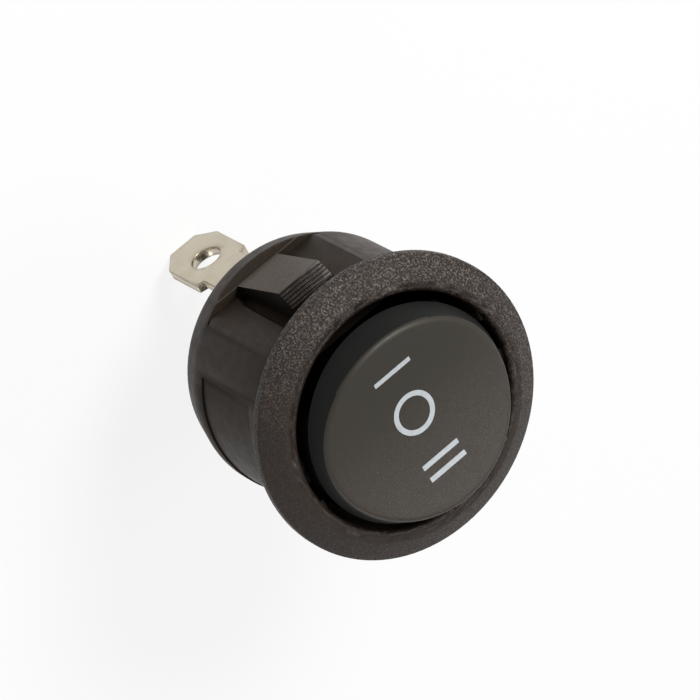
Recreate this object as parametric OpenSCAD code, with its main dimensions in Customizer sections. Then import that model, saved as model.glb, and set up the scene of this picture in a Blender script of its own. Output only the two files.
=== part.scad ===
// Round snap-in panel rocker switch, on-off-on, with three blade terminals.
// Millimetres. The origin is the centre of the bezel's back face, which seats on the panel.
// +Z points out of the front, X is the rocking direction (I at -X, II at +X), Y is the pivot axis.

/* [Housing] */
// Diameter of the round body that passes through the panel
body_d = 19.7; // [16:0.1:25]
// Depth of the body behind the bezel
body_len = 14.2; // [13:0.1:20]
// Wall of the round body
wall_t = 0.95; // [0.8:0.05:1.2]
// Floor of the body, which holds the terminals
floor_t = 2; // [1.2:0.1:3]
// Depth of the flat cut off each side of the round body, at the latches
flat_cut = 1.35; // [1:0.05:1.6]
// Wall behind each flat
flat_wall_t = 1.05; // [0.8:0.05:1.3]
// Band left fully round at the rear, from the rear face to the flats
rear_band = 2.95; // [2.8:0.05:4]
// Length of the taper at the rear end
taper_len = 2.8; // [1:0.1:3.2]
// Width of the relief groove between the rear band and each flat
relief_w = 0.2; // [0.1:0.05:0.4]
// Depth of the relief groove below the flat
relief_depth = 0.3; // [0.1:0.05:0.5]
// Radial depth of the taper at the rear end
taper_in = 0.7; // [0.3:0.05:1]
// Chamfer round the rear face
rear_chamfer = 0.4; // [0.1:0.05:0.5]

/* [Bezel] */
// How far the bezel stands out past the round body
flange_w = 1.65; // [1:0.05:3]
// Thickness of the bezel at its outer edge
bezel_edge_h = 1.0; // [0.6:0.05:1.4]
// Height of the crest that divides the outer slope from the inner lip
crest_h = 1.95; // [1.6:0.05:2.4]
// Height of the bezel at the opening
lip_h = 2.12; // [1.7:0.02:2.6]
// Width of the inner lip, from the opening to the crest
lip_w = 0.85; // [0.5:0.05:1.2]
// Rounding of the bezel's outer edge
bezel_round = 0.22; // [0.1:0.02:0.4]
// Height of the ledge under the rocker's two ends, above the panel
ledge_h = 0.9; // [0.6:0.05:1.1]

/* [Latches] */
// Width of each latch tongue
latch_w = 3.84; // [3:0.02:4.4]
// How far the tongue's peak stands out past the round body
latch_reach = 1.3; // [0.8:0.05:1.8]
// Distance from the panel face of the bezel back to the tongue's peak
latch_peak_back = 3.3; // [2.8:0.05:4]
// Distance from the panel face of the bezel back to the tongue's free end
latch_end_back = 2.2; // [1.6:0.05:2.6]
// How far the tongue's root lies inside the round body
latch_root_in = 0.75; // [0.3:0.05:1]
// Length of the blend that runs from the tongue's root into the rear band
latch_blend_len = 0.5; // [0.4:0.05:2]
// Thickness of the tongue's free end
latch_end_t = 0.65; // [0.4:0.05:0.8]
// How far the free end stands out past the round body
latch_end_reach = 0.3; // [0.1:0.05:0.6]
// Number of grip steps on the front slope
latch_steps = 5; // [3:1:7]
// Gap between the tongue and each side of the pocket that it springs into
latch_side_gap = 0.68; // [0.4:0.02:0.9]
// The same gap at the tongue's root, where the pocket narrows
latch_root_gap = 0.34; // [0.2:0.02:0.6]
// Length over which the pocket narrows
pocket_narrow_len = 1.6; // [0.8:0.1:3]
// Distance from the panel face of the bezel back to the front end of the pocket
pocket_front_back = 3.8; // [3.4:0.1:4.4]
// Wall left behind each pocket
pocket_wall_t = 0.4; // [0.3:0.05:0.6]
// Chamfer round the mouth of the pocket
pocket_chamfer = 0.2; // [0.1:0.05:0.3]
// Gap from the flat to the tongue's inner face
latch_under_gap = 0.1; // [0.05:0.01:0.3]

/* [Sunk field] */
// Half of the angle that the sunk field on the body's side spans
field_half_angle = 35; // [20:1:40]
// Depth of the sunk field
field_depth = 0.12; // [0.06:0.01:0.2]
// Distance from the bezel to the sunk field
field_front_back = 3.4; // [2:0.1:5]
// Length of the sunk field along the body
field_len = 6.95; // [4:0.05:8]

/* [Rocker] */
// Height of the middle of the dished face above the panel
face_h = 3.6; // [3.3:0.05:4.5]
// Radius of the dish, whose axis lies along the pivot
dish_r = 26.5; // [20:0.5:60]
// Gap between the rocker's foot and the well, all round
rocker_gap = 0.78; // [0.6:0.02:1.2]
// Height of the rocker's end edges above the panel
rocker_end_h = 2.7; // [2.6:0.02:3]
// Draft of the rocker's side wall, in degrees
rocker_draft = 20; // [10:1:24]
// Thickness of the rocker's top
rocker_top_t = 1.2; // [0.9:0.05:1.6]
// Wall of the rocker's skirt
skirt_wall_t = 1.0; // [0.8:0.05:1.3]
// Depth of the ribs below the panel face of the bezel
rib_depth = 2.2; // [1:0.1:3]
// Half length of the skirt in the rocking direction
skirt_half = 5.2; // [4.2:0.1:5.6]
// Depth of the skirt below the panel face of the bezel
skirt_depth = 3.2; // [2.4:0.1:3.8]

/* [Pivot] */
// Distance from the panel face of the bezel back to the pivot
pivot_back = 1.0; // [0.8:0.05:1.4]
// Diameter of the pivot pins
pivot_d = 2.4; // [2:0.05:3]
// Radial clearance of the pins in their sockets
pivot_clear = 0.05; // [0.02:0.01:0.1]
// Depth of the pin sockets in the housing wall
socket_depth = 0.55; // [0.4:0.05:0.7]
// Clearance at the ends of the pins
pin_end_clear = 0.1; // [0.05:0.01:0.2]
// Depth of the lead-in grooves above the sockets
groove_depth = 0.3; // [0.15:0.05:0.4]
// Height of the top of the lead-in grooves above the panel
groove_top = 1.2; // [0.8:0.1:1.6]
// Width of the guide cheeks on both sides of each groove
cheek_w = 1.4; // [0.8:0.05:1.6]
// Distance from the groove to each cheek
cheek_out = 0.25; // [0.1:0.05:0.5]
// Gap from the rocker's foot to the cheeks
cheek_clear = 0.12; // [0.1:0.01:0.3]
// Height of the cheeks above the panel
cheek_top = 1.5; // [1.2:0.1:1.8]
// Depth of the cheeks below the panel face of the bezel
cheek_depth = 2.4; // [2:0.1:4]
// Chamfer at the top of the cheeks
cheek_chamfer = 0.3; // [0.1:0.05:0.5]

/* [Plunger and spring] */
// Diameter of the plunger
plunger_d = 2.9; // [2.4:0.05:3.4]
// Radial clearance of the plunger in its tube
plunger_clear = 0.05; // [0.03:0.01:0.1]
// Wall of the plunger tube
tube_wall_t = 0.75; // [0.5:0.05:1]
// Depth of the tube's mouth below the pivot
tube_below_pivot = 4.2; // [3.6:0.1:4.8]
// Length of the plunger's full-width part
plunger_len = 4; // [3:0.1:4.6]
// How far the plunger's full-width part stands out of its tube
plunger_out = 1; // [0.6:0.1:1.4]
// Radius of the plunger's nose
nose_r = 0.8; // [0.6:0.05:1]
// Length of the spigot that centres the spring
spigot_len = 1.5; // [1:0.1:2]
// Diameter of the spigot
spigot_d = 1.3; // [1:0.05:1.6]
// Wire of the spring
spring_wire = 0.35; // [0.25:0.01:0.45]
// Number of turns of the spring
spring_turns = 7; // [5:1:9]
// Clearance between the spring and its tube
spring_clear = 0.15; // [0.1:0.01:0.3]
// Clearance at each end of the spring
spring_end_clear = 0.04; // [0.02:0.01:0.1]

/* [Moving contact] */
// Thickness of the contact blade
blade_t = 0.6; // [0.4:0.05:0.8]
// Width of the contact blade
blade_w = 3.6; // [3:0.1:4.2]
// Rise of the blade from its middle to its arms
blade_rise = 0.16; // [0.1:0.01:0.2]
// Half length of the sloping middle of the blade
blade_slope_half = 1.5; // [1.2:0.05:2]
// Width of the waist that the terminal's ears locate
waist_w = 2.9; // [2.4:0.05:3.2]
// Half length of the waist
waist_half = 0.65; // [0.55:0.05:0.9]
// Gap between the plunger's nose and the blade
nose_gap = 0.05; // [0.03:0.01:0.1]
// Gap between the blade and its saddle
saddle_gap = 0.02; // [0.01:0.01:0.04]
// Distance from the middle of the blade to each contact
contact_x = 5.4; // [4.8:0.05:5.6]
// Length of the blade past the middle of each contact
blade_past_contact = 1.1; // [0.9:0.05:1.3]
// Open gap between the contacts
contact_gap = 0.68; // [0.64:0.02:1]
// Diameter of the moving contacts
moving_contact_d = 2.4; // [2:0.1:2.6]
// Thickness of the moving contacts
moving_contact_t = 0.5; // [0.3:0.05:0.7]
// Diameter of the fixed contacts
fixed_contact_d = 3; // [2.6:0.1:3.2]
// Thickness of a fixed contact at its edge
fixed_contact_edge = 0.2; // [0.1:0.05:0.3]
// Rise of a fixed contact's dome
fixed_contact_dome = 0.3; // [0.25:0.01:0.4]

/* [Terminals] */
// Distance from the middle terminal to each outer one, centre to centre
terminal_pitch = 6.55; // [6.3:0.05:6.6]
// Width of the terminal blades
tab_w = 4.8; // [4:0.1:6.3]
// Thickness of the terminal blades
tab_t = 0.8; // [0.5:0.05:1]
// Distance from the body's rear face to the terminal tips
tab_out = 10.45; // [8:0.05:12]
// Length of each blade from its tip to the notches
tab_len = 5.85; // [5:0.05:6.5]
// Depth of the notch in each edge of the blade, next to the body
notch_depth = 0.65; // [0.3:0.05:0.9]
// Length of the slope at each end of the notch
notch_slope = 0.2; // [0.1:0.05:0.5]
// Length left at full width next to the body
root_len = 0.6; // [0.3:0.1:1.5]
// Width taken off each corner of the tip
tip_in = 1.2; // [0.6:0.05:1.4]
// Length of the cut corner of the tip
tip_back = 1.65; // [0.8:0.05:2]
// Diameter of the hole in the blade
hole_d = 2.4; // [1.4:0.1:2.6]
// Distance from the tip to the centre of the hole
hole_back = 3.65; // [3:0.05:4]
// Clearance round a terminal in its slot
slot_clear = 0.03; // [0.01:0.01:0.06]
// Length of the foot that carries a fixed contact, inwards from the blade
foot_len = 2.7; // [2.2:0.05:2.9]
// Width of the middle terminal's shoulders, past each edge of the blade
shoulder_w = 0.6; // [0.4:0.05:1]
// Height of the middle terminal's shoulders
shoulder_h = 0.8; // [0.5:0.05:1]
// Height of the ears above the saddle
ear_h = 1.0; // [0.8:0.05:1.2]
// Clearance between the contact blade's waist and each ear
ear_clear = 0.23; // [0.1:0.01:0.3]

/* [Hidden] */
$fn = 96;
// A cut runs this far past the face that it opens
over = 1;
// Two shapes that become one share this much
join = 0.2;

body_r = body_d / 2;
bezel_r = body_r + flange_w;
well_r = body_r - wall_t;
crest_r = well_r + lip_w;
flat_x = body_r - flat_cut;
chamber_x = flat_x - flat_wall_t;
floor_z = floor_t - body_len;
flats_z = rear_band - body_len;
pivot_z = -pivot_back;

rocker_foot_r = well_r - rocker_gap;
rocker_roof_z = face_h - rocker_top_t;
pin_end_y = well_r + socket_depth - pin_end_clear;
tube_bore_r = plunger_d / 2 + plunger_clear;
tube_mouth_z = pivot_z - tube_below_pivot;

fixed_top_z = floor_z + tab_t + fixed_contact_edge + fixed_contact_dome;
arm_z = fixed_top_z + contact_gap + moving_contact_t;
saddle_z = arm_z - blade_rise - saddle_gap;
blade_top_z = arm_z - blade_rise + blade_t;
nose_z = blade_top_z + nose_gap;
plunger_bottom_z = tube_mouth_z - plunger_out;
plunger_top_z = plunger_bottom_z + plunger_len;
spring_r = tube_bore_r - spring_clear - spring_wire / 2;
blade_half = contact_x + blade_past_contact;
tip_z = -body_len - tab_out;
shoulder_z = tip_z + tab_len;

// Points of an arc about [x, z], from one angle to another
function arc(x, z, r, from, to, steps) =
    [for (i = [0 : steps]) let (a = from + (to - from) * i / steps) [x + r * cos(a), z + r * sin(a)]];

// A flat shape drawn in X and Z, given a width along Y, centred
module across(width) {
    rotate([90, 0, 0]) linear_extrude(width, center = true) children();
}

// Both ends of the rocking direction
module both_ends() {
    for (turn = [0, 180]) rotate(turn) children();
}

// The round body with its tapered rear end, and the bezel with its crest and lip
module housing_outline() {
    rotate_extrude() polygon(concat(
        [[0, -body_len], [body_r - taper_in - rear_chamfer, -body_len],
         [body_r - taper_in, rear_chamfer - body_len], [body_r, taper_len - body_len], [body_r, 0]],
        arc(bezel_r - bezel_round, bezel_round, bezel_round, -90, 0, 3),
        arc(bezel_r - bezel_round, bezel_edge_h - bezel_round, bezel_round, 0, 60, 3),
        [[crest_r + bezel_round, crest_h - bezel_round / 2], [crest_r, crest_h],
         [well_r + bezel_round, lip_h], [well_r + bezel_round / 4, lip_h - bezel_round / 4],
         [well_r, lip_h - bezel_round], [0, lip_h - bezel_round]]));
}

// One latch tongue seen from the side, with grip steps down its front slope
module latch_outline() {
    root_x = flat_x + latch_under_gap;
    peak_x = body_r + latch_reach;
    end_x = body_r + latch_end_reach;
    run = (peak_x - end_x) / latch_steps;
    rise = (latch_peak_back - latch_end_back) / latch_steps;
    polygon(concat(
        [[root_x, flats_z - join], [body_r - latch_root_in, flats_z - join],
         [body_r - latch_root_in, flats_z]],
        [for (i = [0 : latch_steps - 1]) each
            [[peak_x - run * i, rise * i - latch_peak_back],
             [peak_x - run * (i + 1), rise * i + rise / 4 - latch_peak_back]]],
        [[end_x, -latch_end_back], [end_x - latch_end_t, -latch_end_back],
         [root_x, -latch_peak_back - latch_end_t]]));
}

// What is cut off the rear band so that the tongue's root blends into it
module latch_blend() {
    across(body_d) polygon([
        [body_r - latch_root_in, flats_z - join], [body_r, flats_z - latch_blend_len],
        [bezel_r, flats_z - latch_blend_len], [bezel_r, flats_z + join],
        [body_r - latch_root_in, flats_z + join]]);
}

// The mouth of the pocket that a tongue springs into, seen on the flat and grown by a margin
module pocket_outline(grown) {
    wide = latch_w / 2 + latch_side_gap + grown;
    narrow = latch_w / 2 + latch_root_gap + grown;
    front = grown - pocket_front_back;
    polygon([[-wide, front], [-wide, flats_z + pocket_narrow_len], [-narrow, flats_z],
             [narrow, flats_z], [wide, flats_z + pocket_narrow_len], [wide, front]]);
}

// A slab of the pocket's outline, from one distance to another out from the axis
module pocket_slab(from, to, grown) {
    translate([from, 0, 0]) rotate([90, 0, 90]) linear_extrude(to - from) pocket_outline(grown);
}

// The closed pocket behind a tongue, with its mouth chamfered
module latch_pocket() {
    pocket_slab(chamber_x + pocket_wall_t, bezel_r, 0);
    hull() {
        pocket_slab(flat_x - pocket_chamfer, flat_x, 0);
        pocket_slab(flat_x, flat_x + pocket_chamfer, pocket_chamfer);
    }
}

// The space inside: a round well under the bezel, then a chamber with flat ends
module housing_space() {
    translate([0, 0, ledge_h]) cylinder(r = well_r, h = lip_h);
    intersection() {
        translate([0, 0, floor_z]) cylinder(r = well_r, h = ledge_h - floor_z + join);
        translate([-chamber_x, -body_r, floor_z]) cube([2 * chamber_x, body_d, ledge_h - floor_z + join]);
    }
}

// A socket for one pivot pin, with the groove that leads the pin in
module pivot_socket() {
    translate([0, well_r - join, pivot_z]) rotate([-90, 0, 0])
        cylinder(r = pivot_d / 2 + pivot_clear, h = socket_depth + join);
    translate([-pivot_d / 2, well_r - join, pivot_z])
        cube([pivot_d, groove_depth + join, groove_top - pivot_z]);
}

// The two cheeks that guide the rocker beside one pivot groove
module pivot_cheeks() {
    face_y = rocker_foot_r + cheek_clear;
    for (side = [-1, 1]) intersection() {
        translate([side * (pivot_d / 2 + cheek_out + cheek_w / 2), 0, 0]) rotate([90, 0, 90])
            linear_extrude(cheek_w, center = true) polygon([
                [face_y, -cheek_depth], [face_y, cheek_top - cheek_chamfer],
                [face_y + cheek_chamfer, cheek_top], [body_r, cheek_top], [body_r, -cheek_depth]]);
        translate([0, 0, -cheek_depth]) cylinder(r = well_r + join, h = cheek_top + cheek_depth);
    }
}

// A slot through the floor for a terminal
module terminal_slot(x) {
    width = tab_w + 2 * slot_clear;
    thick = tab_t + 2 * slot_clear;
    translate([x - thick / 2, -width / 2, -body_len - over]) cube([thick, width, floor_t + 2 * over]);
}

module housing() {
    color([0.11, 0.10, 0.10]) {
        difference() {
            housing_outline();
            housing_space();
            both_ends() {
                // flat on the side of the body
                translate([flat_x, -body_r, flats_z]) cube([body_r, body_d, -flats_z]);
                translate([flat_x - relief_depth, -body_r, flats_z]) cube([body_r, body_d, relief_w]);
                latch_pocket();
                latch_blend();
                pivot_socket();
            }
            for (x = [-terminal_pitch, 0, terminal_pitch]) terminal_slot(x);
            // sunk field on the side of the body
            rotate(-90 - field_half_angle) rotate_extrude(angle = 2 * field_half_angle)
                translate([body_r - field_depth, -field_front_back - field_len]) square([over, field_len]);
        }
        both_ends() {
            across(latch_w) latch_outline();
            pivot_cheeks();
        }
    }
}

// The rocker's drafted top, with the dish cut across it
module rocker_top() {
    top_z = face_h + dish_r - sqrt(dish_r * dish_r - rocker_foot_r * rocker_foot_r);
    difference() {
        translate([0, 0, rocker_end_h])
            cylinder(r1 = rocker_foot_r, r2 = rocker_foot_r - (top_z - rocker_end_h) * tan(rocker_draft),
                     h = top_z - rocker_end_h);
        translate([0, 0, face_h + dish_r]) rotate([90, 0, 0])
            cylinder(r = dish_r, h = body_d, center = true, $fn = 360);
    }
}

// A round block with flat ends, from one height to another
module flat_ended_round(r, half, from, to) {
    intersection() {
        translate([0, 0, from]) cylinder(r = r, h = to - from);
        translate([-half, -r, from]) cube([2 * half, 2 * r, to - from]);
    }
}

module rocker() {
    rib_h = rocker_roof_z + join + rib_depth;
    color([0.16, 0.16, 0.17]) difference() {
        union() {
            rocker_top();
            difference() {
                flat_ended_round(rocker_foot_r, skirt_half, -skirt_depth, rocker_end_h + join);
                flat_ended_round(rocker_foot_r - skirt_wall_t, skirt_half - skirt_wall_t, -skirt_depth - over,
                                 rocker_roof_z);
            }
            translate([0, 0, tube_mouth_z])
                cylinder(r = tube_bore_r + tube_wall_t, h = rocker_roof_z - tube_mouth_z + join);
            // ribs from the tube to the skirt
            translate([-skirt_half + join, -skirt_wall_t / 2, -rib_depth])
                cube([2 * skirt_half - 2 * join, skirt_wall_t, rib_h]);
            translate([-skirt_wall_t / 2, join - rocker_foot_r, -rib_depth])
                cube([skirt_wall_t, 2 * rocker_foot_r - 2 * join, rib_h]);
            both_ends() translate([0, rocker_foot_r - skirt_wall_t, pivot_z]) rotate([-90, 0, 0])
                cylinder(d = pivot_d, h = pin_end_y - rocker_foot_r + skirt_wall_t);
        }
        translate([0, 0, tube_mouth_z - over]) cylinder(r = tube_bore_r, h = rocker_roof_z - tube_mouth_z + over);
    }
}

module plunger() {
    cone_top = nose_z + nose_r;
    color([0.85, 0.84, 0.80]) {
        translate([0, 0, plunger_bottom_z]) cylinder(d = plunger_d, h = plunger_len);
        translate([0, 0, cone_top]) cylinder(r1 = nose_r, r2 = plunger_d / 2, h = plunger_bottom_z - cone_top);
        translate([0, 0, cone_top]) sphere(r = nose_r);
        translate([0, 0, plunger_top_z - join]) cylinder(d = spigot_d, h = spigot_len + join);
    }
}

// A coil spring swept along its helix, its last turn at each end laid flat
module plunger_spring() {
    sides = 8;
    rings = 16 * spring_turns;
    low = plunger_top_z + spring_end_clear + spring_wire / 2;
    high = rocker_roof_z - spring_end_clear - spring_wire / 2;
    free_turns = spring_turns - 2;
    closed = spring_wire + spring_end_clear;
    function lift(turn) = min(max(turn - 1, 0), free_turns) / free_turns;
    function ring(i) = let (turn = spring_turns * i / rings)
        [360 * turn, low + closed * min(turn, 1) + (high - low - 2 * closed) * lift(turn)
            + closed * max(turn - spring_turns + 1, 0)];
    points = [for (i = [0 : rings], k = [0 : sides - 1])
        let (p = ring(i), a = 360 * k / sides, r = spring_r + spring_wire / 2 * cos(a))
        [r * cos(p[0]), r * sin(p[0]), p[1] + spring_wire / 2 * sin(a)]];
    skin = [for (i = [0 : rings - 1], k = [0 : sides - 1])
        let (a = i * sides + k, b = i * sides + (k + 1) % sides) [a, a + sides, b + sides, b]];
    ends = [[for (k = [0 : sides - 1]) k], [for (k = [sides - 1 : -1 : 0]) rings * sides + k]];
    color([0.75, 0.75, 0.77]) polyhedron(points, concat(skin, ends), convexity = 10);
}

module contact_blade() {
    arm = arm_z - saddle_z;
    color([0.80, 0.62, 0.30]) intersection() {
        translate([0, 0, saddle_z]) across(blade_w) polygon([
            [0, saddle_gap], [blade_slope_half, arm], [blade_half, arm], [blade_half, arm + blade_t],
            [blade_slope_half, arm + blade_t], [0, saddle_gap + blade_t], [-blade_slope_half, arm + blade_t],
            [-blade_half, arm + blade_t], [-blade_half, arm], [-blade_slope_half, arm]]);
        translate([0, 0, saddle_z - over]) linear_extrude(blade_t + arm + 2 * over) union() {
            both_ends() translate([waist_half, -blade_w / 2]) square([blade_half, blade_w]);
            square([4 * waist_half, waist_w], center = true);
        }
    }
}

module moving_contact(side) {
    color([0.86, 0.86, 0.84]) translate([side * contact_x, 0, arm_z - moving_contact_t])
        cylinder(d = moving_contact_d, h = moving_contact_t);
}

module moving_contact_i() { moving_contact(-1); }

module moving_contact_ii() { moving_contact(1); }

// A round contact with a low dome
module fixed_contact(side) {
    r = fixed_contact_d / 2;
    dome_r = (r * r + fixed_contact_dome * fixed_contact_dome) / (2 * fixed_contact_dome);
    color([0.86, 0.86, 0.84]) translate([side * contact_x, 0, floor_z + tab_t]) intersection() {
        cylinder(r = r, h = fixed_contact_edge + fixed_contact_dome + over);
        translate([0, 0, fixed_contact_edge + fixed_contact_dome - dome_r]) sphere(r = dome_r, $fn = 180);
    }
}

module fixed_contact_i() { fixed_contact(-1); }

module fixed_contact_ii() { fixed_contact(1); }

// The blade seen on its wide face, from its tip up to a given height
module tab_outline(top) {
    half = tab_w / 2;
    neck = half - notch_depth;
    notch_top = -body_len - root_len;
    right = [[half - tip_in, tip_z], [half, tip_z + tip_back], [half, shoulder_z],
             [neck, shoulder_z + notch_slope], [neck, notch_top - notch_slope],
             [half, notch_top], [half, top]];
    left = [for (i = [len(right) - 1 : -1 : 0]) [-right[i][0], right[i][1]]];
    difference() {
        polygon(concat(right, left));
        translate([0, tip_z + hole_back]) circle(d = hole_d);
    }
}

// Sheet-metal blade of the terminal's thickness, centred on X
module tab(top) {
    rotate([90, 0, 90]) linear_extrude(tab_t, center = true) tab_outline(top);
}

module outer_terminal(side) {
    color([0.80, 0.78, 0.72]) translate([side * terminal_pitch, 0, 0]) {
        tab(floor_z + tab_t);
        translate([side > 0 ? -tab_t / 2 - foot_len : tab_t / 2 - join, -tab_w / 2, floor_z])
            cube([foot_len + join, tab_w, tab_t]);
    }
}

module terminal_i() { outer_terminal(-1); }

module terminal_ii() { outer_terminal(1); }

// The middle terminal ends in a saddle between two ears, which carries the contact blade
module terminal_common() {
    notch_w = waist_w + 2 * ear_clear;
    color([0.80, 0.78, 0.72]) difference() {
        union() {
            tab(saddle_z + ear_h);
            translate([-tab_t / 2, -tab_w / 2 - shoulder_w, floor_z])
                cube([tab_t, tab_w + 2 * shoulder_w, shoulder_h]);
        }
        translate([-tab_t, -notch_w / 2, saddle_z]) cube([2 * tab_t, notch_w, ear_h + over]);
    }
}

housing();
rocker();
plunger();
plunger_spring();
contact_blade();
moving_contact_i();
moving_contact_ii();
fixed_contact_i();
fixed_contact_ii();
terminal_i();
terminal_common();
terminal_ii();
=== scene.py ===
import math

import bmesh
import bpy
from bpy.props import FloatProperty, FloatVectorProperty, IntProperty, PointerProperty
from mathutils import Matrix, Vector


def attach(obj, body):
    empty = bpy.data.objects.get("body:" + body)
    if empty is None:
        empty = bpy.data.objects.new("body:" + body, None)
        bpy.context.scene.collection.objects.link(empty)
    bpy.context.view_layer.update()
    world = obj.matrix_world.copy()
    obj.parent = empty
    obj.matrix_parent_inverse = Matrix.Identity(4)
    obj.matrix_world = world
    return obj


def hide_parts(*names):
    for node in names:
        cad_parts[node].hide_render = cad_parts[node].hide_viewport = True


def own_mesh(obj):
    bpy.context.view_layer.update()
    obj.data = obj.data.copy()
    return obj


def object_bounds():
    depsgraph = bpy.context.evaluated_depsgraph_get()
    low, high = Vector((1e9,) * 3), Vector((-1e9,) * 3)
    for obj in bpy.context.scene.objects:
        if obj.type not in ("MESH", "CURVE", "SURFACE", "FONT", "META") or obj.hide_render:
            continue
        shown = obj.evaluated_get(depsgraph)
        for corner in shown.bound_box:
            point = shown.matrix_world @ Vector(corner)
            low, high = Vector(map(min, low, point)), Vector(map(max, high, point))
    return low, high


bl_info = {
    "name": "Round Rocker Switch",
    "version": (1, 0, 0),
    "blender": (4, 5, 0),
    "location": "3D View > Sidebar > Rocker Switch",
    "description": "Finishes the parts of a round snap-in rocker switch and sets the stage for it",
    "category": "Object",
}

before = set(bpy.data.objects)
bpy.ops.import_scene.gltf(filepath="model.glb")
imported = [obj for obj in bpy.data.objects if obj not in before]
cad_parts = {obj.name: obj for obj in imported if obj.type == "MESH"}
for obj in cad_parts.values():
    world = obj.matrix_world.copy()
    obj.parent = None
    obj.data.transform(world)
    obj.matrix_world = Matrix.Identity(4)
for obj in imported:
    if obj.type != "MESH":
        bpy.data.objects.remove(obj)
CAD_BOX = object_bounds()
MM = 0.001

# the bezel's lip as the CAD node has it: crest, top of the lip, wall of the well
CREST_R, CREST_Z = 9.75 * MM, 1.95 * MM
LIP_TOP_R, LIP_TOP_Z = 9.12 * MM, 2.12 * MM
LIP_WALL_R, LIP_WALL_Z = 8.9 * MM, 1.90 * MM
# the ledge at both ends of the opening: its height, and where it starts
LEDGE_Z, LEDGE_IN_X = 0.9 * MM, 7.4 * MM
# faces higher than this belong to the bezel, and those nearer the axis than this to the well
BEZEL_Z, WELL_R = 0.02 * MM, 8.85 * MM
# the latches: both ends of the frosted slope, where the grip steps start, and the flat and the tongue's side,
# each with a little room
SLOPE_BACK_X, SLOPE_BACK_Z = 9.10 * MM, -11.25 * MM
SLOPE_PEAK_X, SLOPE_PEAK_Z = 11.15 * MM, -3.30 * MM
STEPS_X, STEPS_Z = 9.15 * MM, -3.50 * MM
FLAT_X, TONGUE_Y = 8.55 * MM, 2.00 * MM

# places in a piece's list of materials; the housing's body comes first
BEZEL, WELL = 1, 2
FACE, WALL = 0, 1

# the warm tints that matt black plastic gives its gloss, and the colour of dust
BODY_GLOSS = (1.0, 0.95, 0.90, 1.0)
BEZEL_GLOSS = (1.0, 0.95, 0.91, 1.0)
FACE_GLOSS = (1.0, 0.965, 0.92, 1.0)
DUST = (0.34, 0.33, 0.30)

# metres
CAMERA_PLACE = (-0.20681, -0.09897, 0.32119)
CAMERA_RIGHT = (0.4442, 0.74018, 0.50479)
CAMERA_FORWARD = (0.51353, 0.25134, -0.82044)
FLOOR_SIDE = 4.0
# how much of the floor's look is plain white where the background shows
FLOOR_WHITE = 0.86

# name, azimuth and elevation in degrees, distance and size in metres, share of the key light's power
LIGHTS = (
    ("key_light", 140, 50, 0.45, 0.18, 1.0),
    ("top_light", 68, 60, 0.45, 0.18, 0.27),
    ("fill_light", -40, 16, 0.45, 0.18, 0.15),
)


# ---- sizes and colours that a user would change ----

def length(name, description, default_mm):
    """A length in metres whose default is given in millimetres."""
    return FloatProperty(name=name, description=description, default=default_mm * MM, min=0.0,
                         precision=5, unit="LENGTH", subtype="DISTANCE")


def share(name, description, default):
    """A share between nothing and all."""
    return FloatProperty(name=name, description=description, default=default, min=0.0, max=1.0,
                         subtype="FACTOR")


def colour(name, description, default):
    """A colour in linear parts."""
    return FloatVectorProperty(name=name, description=description, default=default, min=0.0, max=1.0,
                               size=3, subtype="COLOR")


class HousingFinish(bpy.types.PropertyGroup):
    plastic: colour("Plastic", "Colour of the smooth body", (0.0250, 0.0185, 0.0135))
    bezel: colour("Bezel", "Colour of the grained bezel", (0.0150, 0.0102, 0.0075))
    # the colour of the painted highlights on the raised grain of the bezel
    grain_highlight: colour("Grain", "Colour that the raised grain of the bezel catches", (0.165, 0.138, 0.125))
    # the slope's colour is lighter than the body's: its grain is real, and the rest of the lightness is
    # painted light that the slope catches from above
    frost: colour("Frost", "Colour of the frosted slope of the latches", (0.085, 0.071, 0.060))
    grain_size: length("Grain size", "Size of the spark-eroded grain on the bezel", 0.15)
    grain_depth: length("Grain depth", "Depth of the spark-eroded grain on the bezel", 0.055)
    edge_radius: length("Edge radius", "Rounding that the mould leaves on sharp edges", 0.05)
    ledge_height: length("Ledge height", "Height of the ledge that the rocker's ends swing down to", 0.5)
    lip_radius: length("Lip radius", "Rounding of the bezel's lip round the opening", 0.42)
    body_roughness: share("Body roughness", "Roughness of the smooth body behind the bezel", 0.42)


class RockerFinish(bpy.types.PropertyGroup):
    plastic: colour("Plastic", "Colour of the rocker's plastic", (0.0086, 0.0072, 0.0037))
    foot_radius: length("Foot radius", "Radius of the drafted wall at the rocker's end edges", 8.247)
    end_height: length("End height", "Height of the rocker's end edges above the panel", 2.35)
    face_height: length("Face height", "Height of the middle of the dished face above the panel", 3.6)
    dish_radius: length("Dish radius", "Radius of the dish across the face", 26.5)
    draft: FloatProperty(name="Draft", description="Slope of the side wall", default=math.radians(20),
                         unit="ROTATION", subtype="ANGLE")
    rim_radius: length("Rim radius", "Rounding between the face and the side wall", 0.40)
    grain_size: length("Grain size", "Size of the fine grain on the face", 0.085)


class MarkPrint(bpy.types.PropertyGroup):
    ink: colour("Ink", "Colour of the printed marks", (0.47, 0.50, 0.52))
    bar_length: length("Bar length", "Length of each bar of I and II", 3.34)
    bar_width: length("Bar width", "Width of each bar", 0.39)
    bar_offset: length("Bar offset", "Distance of the outer bars from the middle of the face", 4.56)
    bar_pitch: length("Bar pitch", "Distance between the two bars of II", 1.06)
    ring_offset: length("Ring offset", "How far the ring sits from the middle, towards I", 0.52)
    ring_outer: length("Ring outer radius", "Outer radius of the ring", 1.71)
    ring_inner: length("Ring inner radius", "Inner radius of the ring", 1.30)
    ink_thickness: length("Ink thickness", "How far the ink stands above the face", 0.012)


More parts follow.
